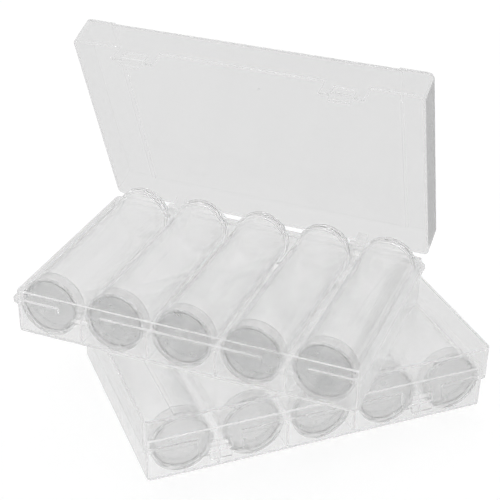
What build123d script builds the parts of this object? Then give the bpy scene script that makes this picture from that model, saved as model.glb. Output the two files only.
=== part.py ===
from build123d import *
import os

# Coin tubes: a clear round tube with a push-on cap, lying on its side
tube_count = 5
tube_length = 114.0
bore_radius = 14.0
tube_wall = 1.4
neck_wall = 0.9
tube_bottom = 1.5
cap_wall = 1.2
cap_skirt = 8.0
cap_end = 1.4
cap_fit = 0.1
cap_seat_gap = 0.2
foot_length = 5.0
foot_taper = 0.8
ring_width = 1.9
ring_height = 0.8
gate_radius = 0.8
gate_height = 0.25
edge_break = 0.4

# Room round the tubes in their compartments
side_gap = 1.9
wall_gap = 1.1
end_gap = 0.6
floor_gap = 0.3
head_gap = 1.4

# Tray and lid walls
floor = 1.6
tray_wall = 1.4
lid_wall = 1.4
lid_panel = 1.5
divider = 1.2
divider_height = 14.0
rim_above_axis = 2.5
lip_height = 4.0
parting_gap = 0.2
corner_radius = 2.4
lid_corner_radius = 3.4
bottom_round = 1.4
top_round = 1.0
flange_overhang = 1.8
flange_height = 3.4
flange_chamfer = 1.5
strip_width = 17.5
strip_raise = 0.8
gate_from_front = 31.0

# How far a cut runs past the face it cuts
cut_over = 1.0

# Snap latches on the front, each on the line between two tubes
latch_from_centre = 1.5
latch_width = 23.0
latch_drop = 13.4
latch_straight = 5.0
latch_bend = 3.4
latch_bar = 1.6
latch_flare = 1.2
lip_width = 11.5
window_width = 12.0
window_top = 3.0
notch_gap = 0.5
catch_width = 9.0
catch_depth = 1.2
catch_top = 4.6
catch_height = 3.0

# Hinge on the back: pins on the lid's arms turn in the ears of the tray
hinge_from_centre = 1.5
hinge_back = 4.0
hinge_drop = 1.0
pin_radius = 1.5
pin_fit = 0.1
ear_wall = 1.6
ear_width = 3.0
arm_width = 6.0
arm_root = 6.5
arm_gap = 0.3
pin_end_gap = 0.2

# How the two cases of the set stand
lid_open_angle = 67.6
lower_case_yaw = 42.7
upper_case_x = -30.7
upper_case_y = -3.9

# Sizes that follow from the ones above
body_radius = bore_radius + tube_wall
neck_radius = bore_radius + neck_wall
cap_bore = neck_radius + cap_fit
cap_radius = cap_bore + cap_wall
pitch = 2 * (cap_radius + side_gap) + divider
axis_z = floor + floor_gap + cap_radius
inner_width = (tube_count - 1) * pitch + 2 * (cap_radius + wall_gap)
inner_depth = tube_length + 2 * end_gap
tray_width = inner_width + 2 * tray_wall
tray_depth = inner_depth + 2 * tray_wall
case_width = tray_width + 2 * flange_overhang
case_depth = tray_depth + 2 * flange_overhang
rim_z = axis_z + rim_above_axis
lid_base_z = rim_z + parting_gap
lid_inside_z = axis_z + cap_radius + head_gap
case_height = lid_inside_z + lid_panel + strip_raise
hinge_y = case_depth / 2 + hinge_back
hinge_z = rim_z - hinge_drop
ear_radius = pin_radius + pin_fit + ear_wall
pin_length = arm_width + 2 * (arm_gap + ear_width - pin_end_gap)
latch_x = latch_from_centre * pitch
hinge_x = hinge_from_centre * pitch


def rounded_block(width, depth, radius, low, high):
    """Upright block with rounded corners between two heights."""
    plan = Pos(0, 0, low) * RectangleRounded(width, depth, radius)
    return extrude(plan, high - low, dir=(0, 0, 1))


def box_between(low, high):
    """Plain block given by its lowest and highest corners."""
    size = [b - a for a, b in zip(low, high)]
    return Pos(*low) * Box(*size, align=(Align.MIN, Align.MIN, Align.MIN))


def side_profile(points, width, x):
    """Outline of (y, z) points, thickened along X about the middle x."""
    outline = make_face(Polyline([(x - width / 2, y, z) for y, z in points], close=True))
    return extrude(outline, width, dir=(1, 0, 0))


def along_x(radius, length, x, y, z):
    """Round bar lying along X, centred at a point."""
    return Pos(x, y, z) * Rot(0, 90, 0) * Cylinder(radius, length)


def mirrored_pair(x):
    return (-x, x)


def tube():
    """Tube lying along Y, open at the front and closed by a foot ring at the back."""
    back = tube_length / 2
    mouth = -back + ring_height + cap_end + cap_seat_gap
    shoulder = -back + cap_skirt + cap_seat_gap
    foot_front = back - foot_length
    ring_inside = cap_radius - ring_width
    outline = Polyline(
        (0, back - ring_height),
        (ring_inside, back - ring_height),
        (ring_inside, back),
        (cap_radius - edge_break, back),
        (cap_radius, back - edge_break),
        (cap_radius, foot_front),
        (body_radius, foot_front - foot_taper),
        (body_radius, shoulder),
        (neck_radius, shoulder),
        (neck_radius, mouth),
        (bore_radius, mouth),
        (bore_radius, back - ring_height - tube_bottom),
        (0, back - ring_height - tube_bottom),
        close=True,
    )
    return revolve(make_face(outline), Axis.Y)


def cap():
    """Cap pushed over the tube's neck, with a raised ring and a gate mark on its face."""
    front = -tube_length / 2
    ring_inside = cap_radius - ring_width
    skirt_end = front + cap_skirt
    outline = Polyline(
        (0, front + ring_height - gate_height),
        (gate_radius, front + ring_height - gate_height),
        (gate_radius, front + ring_height),
        (ring_inside, front + ring_height),
        (ring_inside, front),
        (cap_radius - edge_break, front),
        (cap_radius, front + edge_break),
        (cap_radius, skirt_end),
        (cap_bore, skirt_end),
        (cap_bore, front + ring_height + cap_end),
        (0, front + ring_height + cap_end),
        close=True,
    )
    return revolve(make_face(outline), Axis.Y)


def tray():
    """Open tray with dividers, a rim flange, two catches and two pairs of hinge ears."""
    shell = rounded_block(tray_width, tray_depth, corner_radius, 0, rim_z + lip_height)
    shell = fillet(shell.faces().sort_by(Axis.Z)[0].edges(), bottom_round)
    flange = rounded_block(case_width, case_depth, lid_corner_radius, rim_z - flange_height, rim_z)
    flange = chamfer(flange.faces().sort_by(Axis.Z)[0].edges(), flange_chamfer)
    for x in mirrored_pair(latch_x):
        half = latch_width / 2 + notch_gap
        flange -= box_between(
            (x - half, -case_depth / 2 - cut_over, rim_z - flange_height - cut_over),
            (x + half, -tray_depth / 2, rim_z + cut_over),
        )
    solid = shell + flange
    for x in mirrored_pair(hinge_x):
        for side in (-1, 1):
            solid += ear(x + side * (arm_width / 2 + arm_gap + ear_width / 2))
    inner_radius = corner_radius - tray_wall
    solid -= rounded_block(inner_width, inner_depth, inner_radius, floor, rim_z + lip_height + cut_over)
    for gap in range(tube_count - 1):
        x = (gap - (tube_count - 2) / 2) * pitch
        solid += box_between(
            (x - divider / 2, -inner_depth / 2 - tray_wall / 2, floor / 2),
            (x + divider / 2, inner_depth / 2 + tray_wall / 2, floor + divider_height),
        )
    for x in mirrored_pair(latch_x):
        solid += catch(x)
    return solid


def ear(x):
    """Plate on the tray's back that holds one end of a hinge pin."""
    web = side_profile(
        [
            (tray_depth / 2 - tray_wall / 2, rim_z),
            (tray_depth / 2 - tray_wall / 2, hinge_z - ear_radius - hinge_back),
            (hinge_y, hinge_z - ear_radius),
            (hinge_y, hinge_z),
            (case_depth / 2, rim_z),
        ],
        ear_width,
        x,
    )
    eye = along_x(ear_radius, ear_width, x, hinge_y, hinge_z)
    return web + eye - along_x(pin_radius + pin_fit, 2 * ear_width, x, hinge_y, hinge_z)


def catch(x):
    """Wedge on the tray's front wall that stands in the latch's window."""
    wall_y = -tray_depth / 2
    top = rim_z - catch_top
    return side_profile(
        [
            (wall_y + tray_wall / 2, top),
            (wall_y, top),
            (wall_y - catch_depth, top - catch_height / 2),
            (wall_y, top - catch_height),
            (wall_y + tray_wall / 2, top - catch_height),
        ],
        catch_width,
        x,
    )


def latch(x):
    """Springy tab that hangs from the lid's front wall, with a window and a narrow flared lip."""
    outer = -case_depth / 2
    inner = outer + lid_wall
    knee = lid_base_z - latch_straight
    lip = knee - latch_bend
    end = lid_base_z - latch_drop
    strip = side_profile(
        [
            (inner, lid_base_z + lid_wall),
            (inner, knee),
            (inner - latch_flare, lip),
            (inner - latch_flare, end),
            (outer - latch_flare, end),
            (outer - latch_flare, lip),
            (outer, knee),
            (outer, lid_base_z + lid_wall),
        ],
        latch_width,
        x,
    )
    strip -= box_between(
        (x - window_width / 2, outer - 2 * latch_flare, lip),
        (x + window_width / 2, inner + latch_flare, lid_base_z - window_top),
    )
    for side in (-1, 1):
        cut_x = x + side * (lip_width + latch_width) / 2
        strip -= box_between(
            (cut_x - latch_width / 2, outer - 2 * latch_flare, end - latch_bar),
            (cut_x + latch_width / 2, inner + latch_flare, lip - latch_bar),
        )
    return strip


def arm(x):
    """Arm on the lid's back wall, with the pin that turns in a pair of ears."""
    root = case_depth / 2 - lid_wall / 2
    web = side_profile(
        [
            (root, lid_base_z),
            (root, lid_base_z + arm_root),
            (hinge_y, hinge_z + ear_radius),
            (hinge_y, hinge_z - ear_radius),
            (case_depth / 2 + arm_gap, lid_base_z),
        ],
        arm_width,
        x,
    )
    eye = along_x(ear_radius, arm_width, x, hinge_y, hinge_z)
    return web + eye + along_x(pin_radius, pin_length, x, hinge_y, hinge_z)


def soft_topped_block(high):
    """Block of the lid's outline up to a height, with its top edge rounded."""
    block = rounded_block(case_width, case_depth, lid_corner_radius, lid_base_z, high)
    return fillet(block.faces().sort_by(Axis.Z)[-1].edges(), top_round)


def lid():
    """Lid in its closed place: a shell with raised end strips, a gate mark, latches and hinge arms."""
    strip_x = case_width / 2 - strip_width
    solid = soft_topped_block(case_height - strip_raise)
    solid += soft_topped_block(case_height) - box_between(
        (-strip_x, -case_depth, 0),
        (strip_x, case_depth, case_height + cut_over),
    )
    inside_width = case_width - 2 * lid_wall
    inside_depth = case_depth - 2 * lid_wall
    inside_radius = lid_corner_radius - lid_wall
    solid -= rounded_block(inside_width, inside_depth, inside_radius, lid_base_z - cut_over, lid_inside_z)
    step = rounded_block(inside_width, inside_depth, inside_radius, lid_inside_z, lid_inside_z + strip_raise)
    middle = strip_x + lid_panel
    step -= box_between((-middle, -case_depth, lid_inside_z - cut_over), (middle, case_depth, case_height))
    solid -= step
    gate_place = Pos(0, gate_from_front - case_depth / 2, case_height - strip_raise)
    solid += gate_place * Cylinder(gate_radius, 2 * gate_height)
    for x in mirrored_pair(latch_x):
        solid += latch(x)
    for x in mirrored_pair(hinge_x):
        solid += arm(x)
    return solid


def tube_x(index):
    return (index - (tube_count - 1) / 2) * pitch


# One folder of solids, one file for each piece
os.makedirs("parts", exist_ok=True)
lower_place = Rot(0, 0, lower_case_yaw)
upper_place = Pos(upper_case_x, upper_case_y, case_height)
hinge_line = Axis((0, hinge_y, hinge_z), (-1, 0, 0))
tray_solid = tray()
lid_solid = lid()
tube_solid = tube()
cap_solid = cap()
open_lid_solid = lid_solid.rotate(hinge_line, lid_open_angle)

for name, place, lid_piece in (("lower", lower_place, lid_solid), ("upper", upper_place, open_lid_solid)):
    export_step(place * tray_solid, f"parts/{name}_tray.step")
    export_step(place * lid_piece, f"parts/{name}_lid.step")
    for index in range(tube_count):
        bed = place * Pos(tube_x(index), 0, axis_z)
        export_step(bed * tube_solid, f"parts/{name}_tube_{index + 1}.step")
        export_step(bed * cap_solid, f"parts/{name}_cap_{index + 1}.step")

print("case", case_width, case_depth, case_height, "rim", rim_z, "hinge", hinge_y, hinge_z)
print("pitch", pitch, "axis", axis_z, "latch", latch_x)
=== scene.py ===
import math

import bmesh
import bpy
from mathutils import Matrix, Vector


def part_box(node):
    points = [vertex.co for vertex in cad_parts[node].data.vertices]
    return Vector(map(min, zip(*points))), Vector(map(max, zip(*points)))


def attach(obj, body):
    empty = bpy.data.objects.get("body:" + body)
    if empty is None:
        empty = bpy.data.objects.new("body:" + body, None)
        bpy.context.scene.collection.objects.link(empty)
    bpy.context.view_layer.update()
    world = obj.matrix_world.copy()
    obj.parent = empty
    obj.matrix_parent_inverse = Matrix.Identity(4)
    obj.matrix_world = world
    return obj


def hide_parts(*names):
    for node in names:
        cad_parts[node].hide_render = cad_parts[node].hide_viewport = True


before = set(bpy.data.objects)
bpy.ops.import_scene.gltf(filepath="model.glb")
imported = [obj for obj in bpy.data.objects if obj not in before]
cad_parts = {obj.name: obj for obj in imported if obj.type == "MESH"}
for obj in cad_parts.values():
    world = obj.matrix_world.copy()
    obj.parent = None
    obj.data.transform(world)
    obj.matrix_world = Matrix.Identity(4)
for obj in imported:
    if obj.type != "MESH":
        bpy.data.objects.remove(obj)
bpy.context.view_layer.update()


# Trays: the two open lower halves, each one injection moulding of clear polystyrene with its floor,
# four low dividers, a rim flange with a lip, two catches at the front and hinge ears at the back.
# The upper tray stands askew on the closed lower case.
mm = 0.001
cases = ("lower", "upper")
tray_edge = 0.45 * mm
tray_edge_steps = 3
stacking_air = 0.05 * mm
merge_distance = 0.002 * mm
flat_angle = math.radians(0.5)
sharp_angle = math.radians(35)
flat_face_weight = 100
flow_size = 14 * mm
flow_detail = 2.0
flow_roughness = 0.45
patch_size = 5 * mm
patch_detail = 6.0
patch_roughness = 0.6
patch_from = 0.3
patch_to = 0.75
plastic_ior = 1.49


def linear(hex_colour):
    """Scene-linear RGBA of an sRGB hex colour."""
    channels = [int(hex_colour[i : i + 2], 16) / 255 for i in (1, 3, 5)]
    return [c / 12.92 if c <= 0.04045 else ((c + 0.055) / 1.055) ** 2.4 for c in channels] + [1]


def add_node(tree, kind, inputs=(), **settings):
    """Adds a shader node, sets its properties and fills or links its sockets."""
    node = tree.nodes.new(kind)
    for name, value in settings.items():
        setattr(node, name, value)
    for socket, value in dict(inputs).items():
        if isinstance(value, bpy.types.NodeSocket):
            tree.links.new(value, node.inputs[socket])
        else:
            node.inputs[socket].default_value = value
    return node


def empty_material(name):
    """New material and its node tree, with no nodes in it."""
    material = bpy.data.materials.new(name)
    material.use_nodes = True
    material.node_tree.nodes.clear()
    return material, material.node_tree


def clear_plastic(name, tint, smoke, absorption, haze, clear, wave):
    """Clear moulded plastic. Faint flow waves bend what shows through it, and hazy patches break its
    gloss. Long looks along a wall go grey, and what it lacks of fully clear is milk in it."""
    material, tree = empty_material(name)
    place = add_node(tree, "ShaderNodeTexCoord").outputs["Object"]
    flow = add_node(
        tree,
        "ShaderNodeTexNoise",
        {
            "Vector": place,
            "Scale": 1 / flow_size,
            "Detail": flow_detail,
            "Roughness": flow_roughness,
        },
    )
    patches = add_node(
        tree,
        "ShaderNodeTexNoise",
        {
            "Vector": place,
            "Scale": 1 / patch_size,
            "Detail": patch_detail,
            "Roughness": patch_roughness,
        },
    )
    gloss = add_node(
        tree,
        "ShaderNodeMapRange",
        {
            "Value": patches.outputs["Fac"],
            "From Min": patch_from,
            "From Max": patch_to,
            "To Min": haze[0],
            "To Max": haze[1],
        },
    )
    waves = add_node(
        tree, "ShaderNodeBump", {"Height": flow.outputs["Fac"], "Strength": 1.0, "Distance": wave}
    )
    surface = add_node(
        tree,
        "ShaderNodeBsdfPrincipled",
        {
            "Base Color": linear(tint),
            "IOR": plastic_ior,
            "Transmission Weight": clear,
            "Roughness": gloss.outputs["Result"],
            "Normal": waves.outputs["Normal"],
        },
    )
    depth = add_node(
        tree, "ShaderNodeVolumeAbsorption", {"Color": linear(smoke), "Density": absorption}
    )
    add_node(
        tree,
        "ShaderNodeOutputMaterial",
        {"Surface": surface.outputs[0], "Volume": depth.outputs["Volume"]},
    )
    return material


def finish_piece(bm, name, materials, node):
    """Makes an object of a mesh, with its flat faces shaded flat, in the place of a CAD node."""
    bmesh.ops.recalc_face_normals(bm, faces=bm.faces)
    mesh = bpy.data.meshes.new(name)
    bm.to_mesh(mesh)
    bm.free()
    for material in materials:
        mesh.materials.append(material)
    piece = bpy.data.objects.new(name, mesh)
    bpy.context.scene.collection.objects.link(piece)
    even = piece.modifiers.new("flat_faces_stay_flat", "WEIGHTED_NORMAL")
    even.mode = "FACE_AREA"
    even.weight = flat_face_weight
    even.keep_sharp = True
    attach(piece, node)
    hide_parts(node)


def soften_edges(bm, width, steps):
    """Small moulded round on every edge sharper than the limit, in narrow flat faces that keep
    the light on its true path."""
    for face in bm.faces:
        face.smooth = True
    sharp = [e for e in bm.edges if len(e.link_faces) == 2 and e.calc_face_angle() > sharp_angle]
    rounds = bmesh.ops.bevel(
        bm,
        geom=sharp,
        offset=width,
        segments=steps,
        profile=0.5,
        affect="EDGES",
        clamp_overlap=True,
        material=-1,
    )
    for face in rounds["faces"]:
        face.smooth = False


def moulding(node, width):
    """Copy of a CAD node's mesh with its faces merged and its edges rounded. A hair of air stays
    under it, since two clear faces in one plane would turn dark."""
    bm = bmesh.new()
    bm.from_mesh(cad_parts[node].data)
    bmesh.ops.remove_doubles(bm, verts=bm.verts, dist=merge_distance)
    bmesh.ops.dissolve_limit(bm, angle_limit=flat_angle, verts=bm.verts, edges=bm.edges)
    soften_edges(bm, width, tray_edge_steps)
    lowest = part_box(node)[0].z + stacking_air
    for corner in bm.verts:
        corner.co.z = max(corner.co.z, lowest)
    return bm


# Clear polystyrene, a little hazy on its surface, so that what lies behind it looks soft.
case_plastic = clear_plastic(
    "clear_polystyrene_case",
    tint="#FDFDFD",
    smoke="#C9CCCC",
    absorption=0.5,
    haze=(0.14, 0.22),
    clear=1.0,
    wave=0.02 * mm,
)
for case in cases:
    node = case + "_tray"
    finish_piece(moulding(node, tray_edge), node + "_shell", [case_plastic], node)


# Lids: shells of the same clear polystyrene with a raised strip along each short end, two latch
# tabs on the front edge and two hinge arms with pins on the back. The upper lid leans half open
# on its hinge, and the lower one is shut under the upper case.
lid_edge = 0.45 * mm
for case in cases:
    node = case + "_lid"
    finish_piece(moulding(node, lid_edge), node + "_shell", [case_plastic], node)


# Tubes: clear round tubes of polystyrene, each lying in its compartment with the closed end to the
# back. The moulded wall steps in to a neck under the cap and out to a foot ring at the closed end.
lower_yaw = math.radians(42.7)
bore_radius = 14.0 * mm
body_radius = 15.4 * mm
neck_radius = 14.9 * mm
foot_radius = 16.2 * mm
foot_length = 5.0 * mm
foot_taper = 0.8 * mm
ring_width = 1.9 * mm
ring_height = 0.8 * mm
tube_bottom = 1.5 * mm
neck_length = 5.8 * mm
tube_edge = 0.3 * mm
turned_edge_steps = 3
round_steps = 96
tube_numbers = range(1, 6)


def lathed(profile, width, case, node):
    """Turns an outline of (radius, y) points about the Y axis, its last line in the second material
    if there is one, and sets it where its CAD node lies."""
    bm = bmesh.new()
    points = [bm.verts.new((radius, y, 0)) for radius, y in profile]
    edges = [bm.edges.new(pair) for pair in zip(points, points[1:])]
    bmesh.ops.spin(
        bm,
        geom=points + edges,
        cent=(0, 0, 0),
        axis=(0, 1, 0),
        angle=2 * math.pi,
        steps=round_steps,
        use_merge=True,
    )
    bmesh.ops.remove_doubles(bm, verts=bm.verts, dist=merge_distance)
    bmesh.ops.recalc_face_normals(bm, faces=bm.faces)
    soften_edges(bm, width, turned_edge_steps)
    last_y = profile[-1][1]
    for face in bm.faces:
        face.material_index = all(abs(v.co.y - last_y) < merge_distance for v in face.verts)
    low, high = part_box(node)
    turn = Matrix.Rotation(lower_yaw if case == "lower" else 0, 4, "Z")
    bmesh.ops.transform(bm, matrix=Matrix.Translation((low + high) / 2) @ turn, verts=bm.verts)
    return bm


tube_low, tube_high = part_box("upper_tube_1")
tube_half = (tube_high.y - tube_low.y) / 2
ring_inside = foot_radius - ring_width
tube_outline = [
    (0, tube_half - ring_height),
    (ring_inside, tube_half - ring_height),
    (ring_inside, tube_half),
    (foot_radius, tube_half),
    (foot_radius, tube_half - foot_length),
    (body_radius, tube_half - foot_length - foot_taper),
    (body_radius, -tube_half + neck_length),
    (neck_radius, -tube_half + neck_length),
    (neck_radius, -tube_half),
    (bore_radius, -tube_half),
    (bore_radius, tube_half - ring_height - tube_bottom),
    (0, tube_half - ring_height - tube_bottom),
]
# Clear polystyrene with a trace of milk in it, which lets the thin round walls show.
tube_plastic = clear_plastic(
    "clear_polystyrene_tube",
    tint="#FFFFFF",
    smoke="#CFD2D2",
    absorption=0.5,
    haze=(0.12, 0.18),
    clear=0.982,
    wave=0.01 * mm,
)
for case in cases:
    for number in tube_numbers:
        node = f"{case}_tube_{number}"
        bm = lathed(tube_outline, tube_edge, case, node)
        finish_piece(bm, node + "_wall", [tube_plastic], node)


# Caps: push-on caps of the tubes, moulded from slightly cloudy polyethylene. Each is a shallow cup
# with a raised ring and a small gate mark on its face, matt inside, pressed over the tube's neck.
cap_radius = 16.2 * mm
cap_bore = 15.0 * mm
cap_end = 1.4 * mm
gate_radius = 0.8 * mm
gate_height = 0.25 * mm
cap_edge = 0.2 * mm
cap_low, cap_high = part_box("upper_cap_1")
cap_half = (cap_high.y - cap_low.y) / 2
cap_face = -cap_half + ring_height
cap_outline = [
    (0, cap_face - gate_height),
    (gate_radius, cap_face - gate_height),
    (gate_radius, cap_face),
    (cap_radius - ring_width, cap_face),
    (cap_radius - ring_width, -cap_half),
    (cap_radius, -cap_half),
    (cap_radius, cap_half),
    (cap_bore, cap_half),
    (cap_bore, cap_face + cap_end),
    (0, cap_face + cap_end),
]
# Polyethylene is cloudier and greyer than the case, so the caps show as darker discs.
cap_plastic = clear_plastic(
    "cloudy_polyethylene",
    tint="#F4F4F4",
    smoke="#C4C7C7",
    absorption=1.0,
    haze=(0.02, 0.08),
    clear=0.99,
    wave=0.02 * mm,
)
# The end's inner face is left matt by the mould and blurs what lies behind the cap.
cap_inside = clear_plastic(
    "matt_polyethylene",
    tint="#E8E8E8",
    smoke="#C4C7C7",
    absorption=1.0,
    haze=(0.2, 0.3),
    clear=0.98,
    wave=0.02 * mm,
)
for case in cases:
    for number in tube_numbers:
        node = f"{case}_cap_{number}"
        bm = lathed(cap_outline, cap_edge, case, node)
        finish_piece(bm, node + "_cup", [cap_plastic, cap_inside], node)


# Floor: a broad sheet of white paper, white to the camera and a shade darker in what shows through
# or mirrors in the plastic, lightest at the front as in the photo. Its matt share keeps the shadow.
floor_size = 12.0
floor_drop = 0.5 * mm
floor_light = 0.65
floor_in_mirror = 0.65
floor_front = -0.12
floor_back = 0.10
floor_through_at_front = 0.8
floor_through_at_back = 0.65
floor_to_camera = 0.55
floor_matt = 0.144
floor_matt_to_camera = 0.6
white = linear("#FFFFFF")
floor_mesh = bpy.data.meshes.new("floor")
bm = bmesh.new()
bmesh.ops.create_grid(bm, x_segments=1, y_segments=1, size=floor_size / 2)
bm.to_mesh(floor_mesh)
bm.free()
floor = bpy.data.objects.new("floor", floor_mesh)
bpy.context.scene.collection.objects.link(floor)
floor.location.z = -floor_drop


def by_ray(tree, rays, kind, otherwise, value):
    """Value for rays of one kind, and another for all the rest."""
    mix = add_node(
        tree, "ShaderNodeMix", {0: rays.outputs[kind], 2: otherwise, 3: value}, data_type="FLOAT"
    )
    return mix.outputs["Result"]


paper, tree = empty_material("white_paper")
rays = add_node(tree, "ShaderNodeLightPath")
place = add_node(tree, "ShaderNodeTexCoord").outputs["Object"]
front_to_back = add_node(tree, "ShaderNodeSeparateXYZ", {"Vector": place}).outputs["Y"]
through = add_node(
    tree,
    "ShaderNodeMapRange",
    {
        "Value": front_to_back,
        "From Min": floor_front,
        "From Max": floor_back,
        "To Min": floor_through_at_front,
        "To Max": floor_through_at_back,
    },
    interpolation_type="SMOOTHSTEP",
)
# A ray that passes through plastic counts as a glossy one too, so the transmission level comes after.
level = by_ray(tree, rays, "Is Glossy Ray", floor_light, floor_in_mirror)
level = by_ray(tree, rays, "Is Transmission Ray", level, through.outputs["Result"])
level = by_ray(tree, rays, "Is Camera Ray", level, floor_to_camera)
glow = add_node(tree, "ShaderNodeEmission", {"Color": white, "Strength": level})
grey = by_ray(tree, rays, "Is Camera Ray", floor_matt, floor_matt_to_camera)
matt = add_node(tree, "ShaderNodeBsdfDiffuse", {"Color": grey})
both = add_node(tree, "ShaderNodeAddShader", {0: glow.outputs[0], 1: matt.outputs[0]})
add_node(tree, "ShaderNodeOutputMaterial", {"Surface": both.outputs[0]})
floor_mesh.materials.append(paper)


# Studio: a white tent round the object, brightest above and behind it, with a soft lamp behind for
# the shine along the tubes. A dark flag at the right shows only as the dark band in the lid's wall.
tent_brightest = Vector((-0.15, 0.5, 0.85)).normalized()
tent_fade_from = -0.5
tent_fade_to = 1.0
tent_low = 0.59
tent_high = 0.84
tent_to_camera = 1.0
world = bpy.data.worlds.new("white_tent")
world.use_nodes = True
tree = world.node_tree
tree.nodes.clear()
direction = add_node(tree, "ShaderNodeTexCoord").outputs["Generated"]
towards = add_node(
    tree, "ShaderNodeVectorMath", {0: direction, 1: tent_brightest}, operation="DOT_PRODUCT"
)
fade = add_node(
    tree,
    "ShaderNodeMapRange",
    {
        "Value": towards.outputs["Value"],
        "From Min": tent_fade_from,
        "From Max": tent_fade_to,
        "To Min": tent_low,
        "To Max": tent_high,
    },
    interpolation_type="SMOOTHSTEP",
)
rays = add_node(tree, "ShaderNodeLightPath")
strength = by_ray(tree, rays, "Is Camera Ray", fade.outputs["Result"], tent_to_camera)
tent = add_node(tree, "ShaderNodeBackground", {"Color": white, "Strength": strength})
add_node(tree, "ShaderNodeOutputWorld", {"Surface": tent.outputs[0]})
bpy.context.scene.world = world

lamp_width = 1.2
lamp_height = 0.8
lamp_watts = 0.25
lamp_place = Vector((-0.15, 1.0, 0.9))
lamp_aim = Vector((0, 0, 0.05))
lamp = bpy.data.lights.new("lamp_behind", "AREA")
lamp.shape = "RECTANGLE"
lamp.size = lamp_width
lamp.size_y = lamp_height
lamp.energy = lamp_watts
lamp_holder = bpy.data.objects.new("lamp_behind", lamp)
bpy.context.scene.collection.objects.link(lamp_holder)
lamp_holder.location = lamp_place
lamp_holder.rotation_euler = (lamp_aim - lamp_place).to_track_quat("-Z", "Y").to_euler()

flag_width = 0.2
flag_height = 0.14
flag_colour = "#202020"
flag_place = Vector((0.18, 0.18, flag_height / 2))
flag_mesh = bpy.data.meshes.new("flag")
bm = bmesh.new()
bmesh.ops.create_grid(bm, x_segments=1, y_segments=1, size=1)
bmesh.ops.scale(bm, vec=(flag_width / 2, flag_height / 2, 1), verts=bm.verts)
bmesh.ops.rotate(bm, matrix=Matrix.Rotation(math.pi / 2, 3, "X"), verts=bm.verts)
bmesh.ops.translate(bm, vec=flag_place, verts=bm.verts)
bm.to_mesh(flag_mesh)
bm.free()
cloth, tree = empty_material("black_cloth")
matt = add_node(tree, "ShaderNodeBsdfDiffuse", {"Color": linear(flag_colour)})
add_node(tree, "ShaderNodeOutputMaterial", {"Surface": matt.outputs[0]})
flag_mesh.materials.append(cloth)
flag = bpy.data.objects.new("flag", flag_mesh)
bpy.context.scene.collection.objects.link(flag)
for ray in ("camera", "diffuse", "transmission", "shadow"):
    setattr(flag, "visible_" + ray, False)


# Camera: where the photo was taken from, found from the corners and edges that show in it. Light
# may pass many clear walls, so paths are long, and blurring of mirror paths is off.
camera_place = Vector((0.1843, -0.5328, 0.4044))
camera_forward = Vector((-0.30828, 0.81127, -0.49679)).normalized()
camera_right = Vector((0.93069, 0.36531, 0.01903)).normalized()
lens_to_frame = 2.488
nearest_seen = 0.01
light_bounces = 128
camera_up = camera_right.cross(camera_forward).normalized()
lens = bpy.data.cameras.new("camera")
lens.lens = lens_to_frame * lens.sensor_width
lens.clip_start = nearest_seen
camera = bpy.data.objects.new("camera", lens)
bpy.context.scene.collection.objects.link(camera)
turn = Matrix((camera_right, camera_up, -camera_forward)).transposed().to_4x4()
camera.matrix_world = Matrix.Translation(camera_place) @ turn
bpy.context.scene.camera = camera
bpy.context.scene.view_settings.view_transform = "Standard"
cycles = bpy.context.scene.cycles
cycles.blur_glossy = 0
for kind in ("max", "diffuse", "glossy", "transmission"):
    setattr(cycles, kind + "_bounces", light_bounces)
